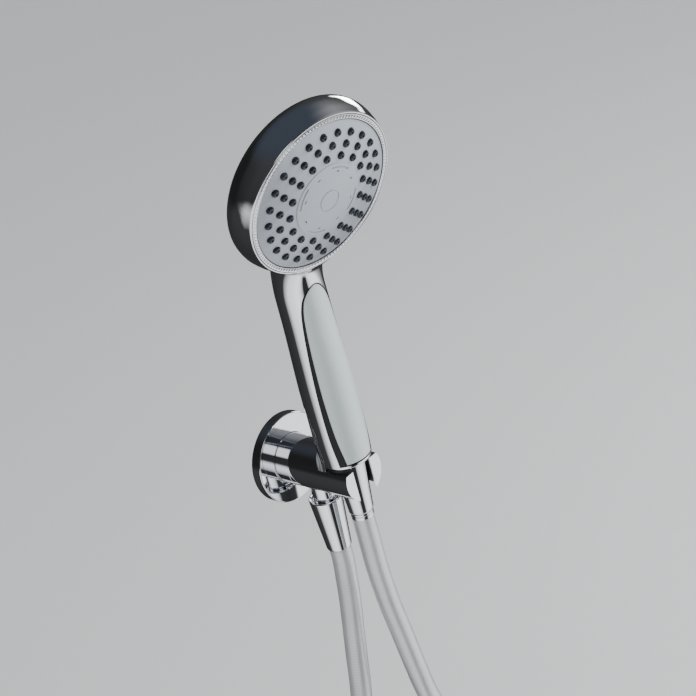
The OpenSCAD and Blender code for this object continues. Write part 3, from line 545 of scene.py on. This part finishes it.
# %% Fields of handle and bowl
HANDLE_S = [12.5, 25.25, 44.4, 69.9, 91.5, 117.0, 140.0, 150.5, 160.9, 171.4, 181.9, 189.2]
HANDLE_R = [17.8, 18.4, 18.7, 18.7, 18.1, 17.3, 17.0, 16.8, 16.9, 17.25, 17.8, 18.2]
NECK_END = math.radians(45)
BAR_SIDES = 48
MELT = 9.0
BOWL = [(0, -32.5), (20, -31.9), (34, -30.3), (44, -27.8), (51.1, -25.1), (55.1, -22.2), (57.4, -18.8),
        (58.3, -14.8), (58.3, -12.0), (57.4, -7.0), (56.0, -2.4), (55.1, 0.4)]


def hermite(xs, ys, x):
    """A smooth curve through the points, with level slopes at flat stretches."""
    xs, ys = np.array(xs, float), np.array(ys, float)
    slope = np.gradient(ys, xs)
    i = np.clip(np.searchsorted(xs, x) - 1, 0, len(xs) - 2)
    h = xs[i + 1] - xs[i]
    t = np.clip((x - xs[i]) / h, 0, 1)
    return ((2 * t**3 - 3 * t**2 + 1) * ys[i] + (t**3 - 2 * t**2 + t) * h * slope[i]
            + (3 * t**2 - 2 * t**3) * ys[i + 1] + (t**3 - t**2) * h * slope[i + 1])


def handle_field(p):
    x, y, z = p.T
    up = z - BEND_LOW
    angle = np.arctan2(up, y + BEND_R)
    bent = up > 0
    off = np.where(bent, np.hypot(x, np.hypot(y + BEND_R, up) - BEND_R), np.hypot(x, y))
    along = np.where(bent, BEND_LOW + BEND_R * np.clip(angle, 0, 1.2), z)
    side = off - hermite(HANDLE_S, HANDLE_R, along)
    end = np.where(bent, (angle - NECK_END) * BEND_R, -50.0)
    return np.maximum(side, end)


bowl_curve = spline_through(np.array(BOWL[1:], float), 7)
bowl_outline = np.vstack([[BOWL[0]], bowl_curve, [(0, 0.4)]])
into_face = np.array(face_place.inverted())


def bowl_field(p):
    local = p @ into_face[:3, :3].T + into_face[:3, 3]
    q = np.stack([np.hypot(local[:, 0], local[:, 1]), local[:, 2]], 1)
    a, b = bowl_outline[:-1], bowl_outline[1:]
    edge = b - a
    t = np.clip(((q[:, None] - a) * edge).sum(2) / (edge * edge).sum(1), 0, 1)
    gap = np.linalg.norm(q[:, None] - (a + t[..., None] * edge), axis=2).min(1)
    y = q[:, 1:2]
    crosses = (a[:, 1] > y) != (b[:, 1] > y)
    where = a[:, 0] + (y - a[:, 1]) / np.where(edge[:, 1] == 0, 1e-9, edge[:, 1]) * edge[:, 0]
    inside = (crosses & (q[:, :1] < where)).sum(1) % 2 == 1
    return np.where(inside, -gap, gap)


def housing_field(p):
    a, b = handle_field(p), bowl_field(p)
    h = np.clip(MELT - np.abs(a - b), 0, None) / MELT
    return np.minimum(a, b) - h * h * MELT / 4


def slope_of(p, reach=0.02):
    return np.stack([(housing_field(p + d) - housing_field(p - d)) / (2 * reach)
                     for d in np.eye(3) * reach], 1)


print("bowl outline of", len(bowl_outline), "points")

# %% Housing mesh on the field
VOXEL_MM = 1.25


def coarse_housing():
    """Bowl and handle as one plain solid, remeshed evenly."""
    shape = bmesh.new()
    bowl = lathe("bowl_core", [tuple(p) for p in bowl_outline], 0.01, False, 96)
    bowl.transform(face_place)
    shape.from_mesh(bowl)
    rings = []
    stations = [(z, 0.0) for z in np.arange(6.0, BEND_LOW, 4.0)]
    stations += [(BEND_LOW, a) for a in np.arange(0, NECK_END, 0.07)]
    for z, a in stations:
        r = float(hermite(HANDLE_S, HANDLE_R, np.array([z + BEND_R * a]))[0])
        ring = []
        for k in range(BAR_SIDES):
            corner = k * math.tau / BAR_SIDES
            u, v = r * math.cos(corner), r * math.sin(corner)
            ring.append(shape.verts.new((u, -BEND_R * (1 - math.cos(a)) + v * math.cos(a),
                                         z + BEND_R * math.sin(a) + v * math.sin(a))))
        rings.append(ring)
    for low, high in zip(rings, rings[1:]):
        for k in range(BAR_SIDES):
            n = (k + 1) % BAR_SIDES
            shape.faces.new([low[k], low[n], high[n], high[k]])
    shape.faces.new(rings[0][::-1])
    shape.faces.new(rings[-1])
    mesh = bpy.data.meshes.new("coarse_housing")
    shape.to_mesh(mesh)
    shape.free()
    maker = bpy.data.objects.new("coarse_housing", mesh)
    bpy.context.scene.collection.objects.link(maker)
    remesh = maker.modifiers.new("even", "REMESH")
    remesh.mode = "VOXEL"
    remesh.voxel_size = VOXEL_MM
    graph = bpy.context.evaluated_depsgraph_get()
    made = bpy.data.meshes.new_from_object(maker.evaluated_get(graph), depsgraph=graph)
    bpy.data.objects.remove(maker)
    return made


def draw_onto_field(mesh, rounds=8):
    """Evens the points out along the surface and draws them onto the field's zero."""
    co = np.zeros(len(mesh.vertices) * 3)
    mesh.vertices.foreach_get("co", co)
    co = co.reshape(-1, 3)
    pair = np.zeros(len(mesh.edges) * 2, int)
    mesh.edges.foreach_get("vertices", pair)
    a, b = pair.reshape(-1, 2).T
    count = np.bincount(np.concatenate([a, b]), minlength=len(co))[:, None]
    for turn in range(rounds):
        total = np.zeros_like(co)
        np.add.at(total, a, co[b])
        np.add.at(total, b, co[a])
        if turn < rounds - 2:
            co = co + 0.5 * (total / count - co)
        slope = slope_of(co)
        step = housing_field(co)[:, None] * slope / np.maximum((slope * slope).sum(1), 0.2)[:, None]
        co = co - np.clip(step, -2.0, 2.0)
    mesh.vertices.foreach_set("co", co.ravel())
    mesh.update()


housing_mesh = coarse_housing()
draw_onto_field(housing_mesh)
print("housing field mesh:", len(housing_mesh.vertices), "points")

# %% [markdown]
# ## Lips of the housing
# The bowl is open at its front for the trim ring, and the handle is open at its bottom for the nut.
# A flat cut leaves a clean edge loop, and the loop is drawn on through a few rings that roll the edge
# over and down inside.

# %% Cut the openings and roll their lips
BOWL_CUT, BOTTOM_CUT = -0.9, 13.9
BOWL_LIP = [(55.3, -0.2), (55.0, 0.2), (54.6, 0.4), (54.3, 0.2), (54.2, -0.4), (54.2, -9.0)]
BOTTOM_LIP = [(17.8, 13.3), (17.6, 12.85), (17.2, 12.55), (16.7, 12.5), (10.7, 12.5), (10.55, 12.7),
              (10.55, 15.0)]


def open_and_roll(shape, near, place, cut, lip, front):
    """Cuts across an axis at a height, removes what is past it and draws the edge through the lip."""
    back = place.inverted()
    faces = [f for f in shape.faces if all(near(back @ v.co) for v in f.verts)]
    geometry = faces + list({e for f in faces for e in f.edges}) + list({v for f in faces for v in f.verts})
    normal = place.to_3x3() @ Vector((0, 0, 1 if front else -1))
    bmesh.ops.bisect_plane(shape, geom=geometry, dist=1e-4, plane_co=place @ Vector((0, 0, cut)),
                           plane_no=normal, clear_outer=True)
    edges = [e for e in shape.edges if e.is_boundary and near(back @ e.verts[0].co)]
    fresh = []
    for radius, height in lip:
        made = bmesh.ops.extrude_edge_only(shape, edges=edges)["geom"]
        edges = [g for g in made if isinstance(g, bmesh.types.BMEdge) and g.is_boundary]
        for v in {v for e in edges for v in e.verts}:
            local = back @ v.co
            turn = math.atan2(local.y, local.x)
            v.co = place @ Vector((radius * math.cos(turn), radius * math.sin(turn), height))
            fresh.append(v)
    return fresh


shape = bmesh.new()
shape.from_mesh(housing_mesh)
layer = shape.verts.layers.int.new("lip")
rolled = open_and_roll(shape, lambda q: q.z > -3.0 and math.hypot(q.x, q.y) < 64, face_place, BOWL_CUT,
                       BOWL_LIP, True)
rolled += open_and_roll(shape, lambda q: q.z < 17.0 and math.hypot(q.x, q.y) < 30, Matrix.Identity(4),
                        BOTTOM_CUT, BOTTOM_LIP, False)
for v in rolled:
    v[layer] = 1
bmesh.ops.recalc_face_normals(shape, faces=shape.faces)
shape.to_mesh(housing_mesh)
shape.free()
housing_mesh.shade_smooth()
co = np.array([v.co for v in housing_mesh.vertices])
normals = np.array([v.normal for v in housing_mesh.vertices])
on_field = np.array([d.value for d in housing_mesh.attributes["lip"].data]) == 0
slope = slope_of(co[on_field])
normals[on_field] = slope / np.linalg.norm(slope, axis=1)[:, None]
turned_in = (normals[on_field] * np.array([v.normal for v in housing_mesh.vertices])[on_field]).sum(1).mean()
print("housing normals agree with the field:", round(float(turned_in), 3))
housing_mesh.attributes.remove(housing_mesh.attributes["lip"])
normals = normals @ np.array(handset_turn.to_3x3()).T
put("handset_housing", housing_mesh, cradle_frame, "handset", chrome,
    ["handle_shell", "head_shell"])
housing_mesh.normals_split_custom_set_from_vertices([tuple(n) for n in normals])

# %% [markdown]
# ## Front panel
# A leaf-shaped pearl panel lies on the front of the handle, with a glossy black band round it. The band
# is painted reflection: it stands in for the dark room seen in the handle's rounded chrome edge. Both
# are sheets laid on the handle's skin: rows follow the handle's length, columns go round it, and the
# rim tucks under, so the panel has a soft rounded edge.

# %% Panel and the painted reflection band round it
LEAF_S = [15.8, 36.0, 60.0, 85.0, 105.0, 125.0, 140.0, 153.5]
LEAF_DEGREES = [36.0, 43.5, 47.0, 47.5, 46.0, 42.0, 36.0, 28.0]
LEAF_TOP = 26.0


def skin_point(s, turn, lift):
    """A point on the handle's skin: distance along it, angle from the front, height above it."""
    r = hermite(HANDLE_S, HANDLE_R, s) + lift
    a = np.clip((s - BEND_LOW) / BEND_R, 0, None)
    z = np.minimum(s, BEND_LOW)
    out = -r * np.cos(turn)
    return np.stack([r * np.sin(turn), -BEND_R * (1 - np.cos(a)) + out * np.cos(a),
                     z + BEND_R * np.sin(a) + out * np.sin(a)], -1)


def leaf_sheet(name, extra_low, extra_top, low, top, lift, tuck, rim, rows=150, columns=56):
    """A leaf on the handle's skin. Extra widens it, in millimetres at its bottom and its top."""
    s = low + (top - low) * (0.5 - 0.5 * np.cos(np.linspace(0, math.pi, rows)))
    across = np.sin(np.linspace(-1, 1, columns) * math.pi / 2)
    share = (s - low) / (top - low)
    r = hermite(HANDLE_S, HANDLE_R, s)
    half = np.radians(hermite(LEAF_S, LEAF_DEGREES, np.clip(s, LEAF_S[0], LEAF_S[-1])))
    half = half + (extra_low * (1 - share) + extra_top * share) / r
    closing = np.clip((s - (top - LEAF_TOP)) / LEAF_TOP, 0, 1)
    half = half * np.sqrt(np.clip(1 - closing**2.2, 0, 1))
    grid_s = np.repeat(s[:, None], columns, 1)
    turn = half[:, None] * across
    to_ends = np.minimum(s - low, (top - s) * 1.5)[:, None]
    edge = np.minimum((1 - np.abs(across)) * (half * r)[:, None], to_ends)
    rise = np.clip(edge / rim, 0, 1)
    height = -tuck + (lift + tuck) * np.sqrt(1 - (1 - rise) ** 2)
    points = skin_point(grid_s, turn, height).reshape(-1, 3)
    faces = [(i * columns + k, i * columns + k + 1, (i + 1) * columns + k + 1, (i + 1) * columns + k)
             for i in range(rows - 1) for k in range(columns - 1)]
    mesh = bpy.data.meshes.new(name)
    mesh.from_pydata([tuple(p) for p in points], [], faces)
    shape = bmesh.new()
    shape.from_mesh(mesh)
    bmesh.ops.remove_doubles(shape, verts=shape.verts, dist=0.004)
    shape.to_mesh(mesh)
    shape.free()
    mesh.shade_smooth()
    return mesh


panel = put("front_panel", leaf_sheet("front_panel", 0.0, 0.0, 15.8, 153.0, 0.55, 0.5, 1.1), cradle_frame,
            "handset", pearl, ["handle_panel"])
# The band round the panel is painted reflection: a black sheet where the rounded chrome edge shows the dark
# room, widest at the bottom.
reflection_band = put("painted_reflection_band", leaf_sheet("painted_reflection_band", 5.4, 0.9, 14.6, 154.2, 0.10, 0.15, 0.5),
              cradle_frame, "handset", painted_reflection_black, ())
for sheet, thick in ((panel, 0.0006), (reflection_band, 0.0003)):
    wall = sheet.modifiers.new("wall", "SOLIDIFY")
    wall.thickness = thick
    wall.offset = -1

# %% [markdown]
# ## Trim ring with a rope edge
# The ring round the face carries a fine rope pattern: one small slanted bead, repeated all round. A
# tree with a count and a radius places the beads on a circle and turns each to follow it.

# %% Trim ring
turned("trim_ring_plain", [(50.95, -8.6), (53.85, -8.6), (53.85, 0.2), (53.5, 0.75), (52.9, 0.45),
                           (51.7, 0.45), (51.3, 0.8), (50.95, 0.4)],
       face_frame, "spray_face", chrome, ["trim_ring"], radius=0.25, sides=220)
turned("face_edge_seal", [(50.42, -4.5), (50.93, -4.5), (50.93, 0.15), (50.42, 0.15)],
       face_frame, "spray_face", seal_rubber_and_painted_shade, (), radius=0.12, sides=160)
ROPE_BEADS = 132
BEAD = [(0, -1.25), (0.28, -1.12), (0.50, -0.6), (0.55, 0.0), (0.50, 0.6), (0.28, 1.12), (0, 1.25)]
BEAD_SLANT = math.radians(38)
bead = lathe("rope_bead", BEAD, 0.05, False, 10)
bead.transform(Matrix.Rotation(math.radians(90), 4, "X"))
bead.transform(Matrix.Rotation(BEAD_SLANT, 4, "Z"))


def ring_tree(name):
    """Places an object on a circle: how many, how far out, how high, and from what angle."""
    tree, start, end = new_tree(
        name, "GeometryNodeTree",
        [("Geometry", "NodeSocketGeometry", None), ("Count", "NodeSocketInt", 12), ("Radius", FLOAT, 1.0),
         ("Height", FLOAT, 0.0), ("Phase", FLOAT, 0.0), ("Material", "NodeSocketMaterial", None)],
        [("Geometry", "NodeSocketGeometry")],
    )
    circle = add(tree, "GeometryNodeMeshCircle", {
        "Vertices": start.outputs["Count"], "Radius": start.outputs["Radius"]}).outputs[0]
    index = add(tree, "GeometryNodeInputIndex").outputs[0]
    step = math_of(tree, "DIVIDE", math.tau, start.outputs["Count"])
    turn = add(tree, "ShaderNodeCombineXYZ", {"Z": math_of(tree, "MULTIPLY", index, step)}).outputs[0]
    copies = add(tree, "GeometryNodeInstanceOnPoints", {
        "Points": circle, "Instance": start.outputs["Geometry"], "Rotation": turn}).outputs[0]
    lift = add(tree, "ShaderNodeCombineXYZ", {"Z": start.outputs["Height"]}).outputs[0]
    phase = add(tree, "ShaderNodeCombineXYZ", {"Z": start.outputs["Phase"]}).outputs[0]
    moved = add(tree, "GeometryNodeTransform", {
        "Geometry": copies, "Translation": lift, "Rotation": phase}).outputs[0]
    real = add(tree, "GeometryNodeRealizeInstances", {"Geometry": moved}).outputs[0]
    coated = add(tree, "GeometryNodeSetMaterial", {
        "Geometry": real, "Material": start.outputs["Material"]}).outputs[0]
    tree.links.new(coated, end.inputs[0])
    return tree


ring_of_pieces = ring_tree("pieces_on_a_circle")
rope = grow("rope_maker", bead, ring_of_pieces, {
    "Count": ROPE_BEADS, "Radius": 52.3, "Height": 0.45, "Material": chrome})
put("trim_ring_rope", rope, face_frame, "spray_face", chrome, ())

# %% [markdown]
# ## Nozzles
# The soft nozzles poke through the face in three rings. One nozzle is a short lathe shape with few
# sides, a rounded tip and a small outlet, and the same circle tree repeats it for each ring.

# %% Nozzles in three rings
DOME_RISE, FACE_R = 7.6, 50.4
DOME_R = (FACE_R**2 + DOME_RISE**2) / (2 * DOME_RISE)
RINGS = [(43.2, 24, 0.0), (36.15, 20, 9.0), (29.1, 16, 0.0)]


def dome_height(r):
    return DOME_RISE - DOME_R + math.sqrt(DOME_R**2 - r * r)


nozzle = lathe("nozzle_shape", [(0, -3.4), (2.5, -3.4), (2.5, 0.2), (2.3, 1.1), (1.75, 1.6), (0.85, 1.6),
                                (0.6, 0.9), (0, 0.9)], 0.28, False, 10)
joined = bmesh.new()
for radius, count, phase in RINGS:
    ring = grow("nozzle_maker", nozzle.copy(), ring_of_pieces, {
        "Count": count, "Radius": radius, "Height": dome_height(radius), "Phase": math.radians(phase),
        "Material": nozzle_rubber})
    joined.from_mesh(ring)
nozzles = bpy.data.meshes.new("spray_nozzles")
joined.to_mesh(nozzles)
joined.free()
put("spray_nozzles", nozzles, face_frame, "spray_face", nozzle_rubber, ["nozzle_mat"])

# %% [markdown]
# ## CAD nodes that stay
# The arm with its cradle, the domed face with its holes, the centre insert and everything inside are
# right as modelled, so they only get their finish. A table below gives each node its slot; nodes not in it
# are chrome.

# %% Finishes for the CAD nodes
BY_SLOT = {
    "chrome": chrome, "liner": black_nylon, "seal": seal_rubber_and_painted_shade, "brass": brass, "steel": steel,
    "white_plastic": white_plastic, "valve": orange_plastic, "regulator": green_plastic, "hose": silver_hose,
    "tie": strap_black, "panel": pearl, "tube": tube_plastic, "face": face_satin, "nozzle": nozzle_rubber,
    "housing": chrome,
}
NODE_SLOTS = {
    "seal": "flange_gasket outlet_washer swivel_o_ring inlet_washer connector_o_ring head_o_ring port_seal",
    "brass": "supply_nipple outlet_ferrule swivel_sleeve handle_connector",
    "steel": "grub_screw check_valve_spring filter_screen core_screws pivot_screw pivot_washer detent_plunger"
             " detent_spring",
    "liner": "cradle_liner", "white_plastic": "check_valve_body head_core face_back_plate",
    "valve": "check_valve_poppet massage_turbine", "regulator": "flow_regulator", "tie": "hose_tie",
    "tube": "water_tube", "face": "face_plate centre_insert",
}
finish_of = {node: slot for slot, names in NODE_SLOTS.items() for node in names.split()}
for name, node in nodes.items():
    material = BY_SLOT[finish_of.get(name, "chrome")]
    node.data.materials.clear()
    node.data.materials.append(material)
print("nodes with a finish:", len(nodes))

# %% [markdown]
# ## Studio
# A mirror shows its room, so the light has to be built as a room: a dark wall behind, a pale floor in
# front and below with one dark gap in it, a soft window in front, and a small hot spot behind on the
# right. The camera and the matt surfaces see a plain pale studio instead. The floor and the two lamps
# are left out of the reflections, because the room already holds its own.

# %% World
def ramp(tree, value, stops):
    node = add(tree, "ShaderNodeValToRGB", {0: value})
    while len(node.color_ramp.elements) < len(stops):
        node.color_ramp.elements.new(0.5)
    for element, (place, level) in zip(node.color_ramp.elements, stops):
        element.position = (place + 180) / 360
        element.color = (level * 0.97, level * 0.985, level, 1)
    return node.outputs[0]


world = bpy.data.worlds.new("studio_world")
world.use_nodes = True
bpy.context.scene.world = world
sky = world.node_tree
sky.nodes.clear()
view = add(sky, "ShaderNodeTexCoord").outputs["Generated"]
axes = add(sky, "ShaderNodeSeparateXYZ", {0: view}).outputs
front = math_of(sky, "MULTIPLY", axes["Y"], -1.0)
turn = math_of(sky, "ARCTAN2", axes["X"], front)
share = math_of(sky, "ADD", math_of(sky, "DIVIDE", turn, math.tau), 0.5)
LOW_ROOM = [(-180, 0.02), (-128, 0.03), (-104, 0.75), (-62, 1.0), (-44, 0.75), (-30, 0.02), (-4, 0.02),
            (6, 0.60), (26, 1.0), (62, 1.0), (84, 0.30), (104, 0.03), (180, 0.02)]
HIGH_ROOM = [(-180, 0.01), (-134, 0.01), (-112, 0.02), (-84, 0.03), (-60, 0.03), (-44, 0.02), (0, 0.02),
             (28, 0.08), (60, 0.26), (84, 0.16), (104, 0.05), (140, 0.02), (180, 0.01)]
HOT_SPOT = (0.915, 0.375, 0.13)
WINDOW = (-0.484, -0.656, 0.580)
CEILING, FLOOR_GLOW = rgba(0.030, 0.036, 0.046), rgba(0.62, 0.63, 0.65)


def blend_at(low, high, below, above):
    """Passes from one picture of the room to another between two heights."""
    share = add(sky, "ShaderNodeMapRange", {"Value": axes["Z"], "From Min": low, "From Max": high},
                interpolation_type="SMOOTHSTEP").outputs[0]
    return add(sky, "ShaderNodeMix", {"Factor": share, 6: below, 7: above}, data_type="RGBA").outputs[2]


room = blend_at(-0.997, -0.94, FLOOR_GLOW, ramp(sky, share, LOW_ROOM))
room = blend_at(-0.26, 0.0, room, ramp(sky, share, HIGH_ROOM))
room = blend_at(0.55, 0.92, room, CEILING)
for towards, edge, core, level in ((HOT_SPOT, 0.979, 0.996, 9.0), (WINDOW, 0.950, 0.985, 0.75)):
    facing = add(sky, "ShaderNodeVectorMath", {0: view, 1: towards},
                 operation="DOT_PRODUCT").outputs["Value"]
    glow = add(sky, "ShaderNodeMapRange", {
        "Value": facing, "From Min": edge, "From Max": core, "To Max": level},
        interpolation_type="SMOOTHSTEP").outputs[0]
    room = add(sky, "ShaderNodeMix", {"Factor": 1.0, 6: room, 7: glow}, data_type="RGBA",
               blend_type="ADD").outputs[2]
rays = add(sky, "ShaderNodeLightPath").outputs
plain = add(sky, "ShaderNodeBackground", {"Color": rgba(0.86, 0.87, 0.88), "Strength": 0.80}).outputs[0]
mirror = add(sky, "ShaderNodeBackground", {"Color": room, "Strength": 1.75}).outputs[0]
mixed = add(sky, "ShaderNodeMixShader", {0: rays["Is Glossy Ray"], 1: plain, 2: mirror}).outputs[0]
add(sky, "ShaderNodeOutputWorld", {"Surface": mixed})
print("studio room made of", len(sky.nodes), "nodes")

# %% Lamps
def softbox(name, place, target, size, power):
    data = bpy.data.lights.new(name, "AREA")
    data.size = size
    data.energy = power
    lamp = bpy.data.objects.new(name, data)
    lamp.location = place
    lamp.visible_glossy = False
    lamp.rotation_euler = (Vector(target) - Vector(place)).to_track_quat("-Z", "Y").to_euler()
    bpy.context.scene.collection.objects.link(lamp)


middle = (0.0, -0.08, 0.12)
softbox("key_softbox", (1.3, -1.1, 0.9), middle, 0.9, 34)
softbox("fill_softbox", (-0.9, -1.3, 1.2), middle, 0.9, 3)
print("two lamps")

# %% Floor
FLOOR_HALF = 8.0
floor_z = cad_box[0].z - 0.002
floor_mesh = bpy.data.meshes.new("studio_floor")
corners = [(-1, -1), (1, -1), (1, 1), (-1, 1)]
floor_mesh.from_pydata([(x * FLOOR_HALF, y * FLOOR_HALF, floor_z) for x, y in corners], [], [(0, 1, 2, 3)])
floor = bpy.data.objects.new("studio_floor", floor_mesh)
floor_mesh.materials.append(moulded_finish(
    "pale_floor", (0.80, 0.81, 0.82), (0.78, 0.79, 0.80), 0.5, 0.7, 0.02, grain=300.0))
floor.visible_glossy = False
bpy.context.scene.collection.objects.link(floor)
print("floor at", round(floor_z, 4))
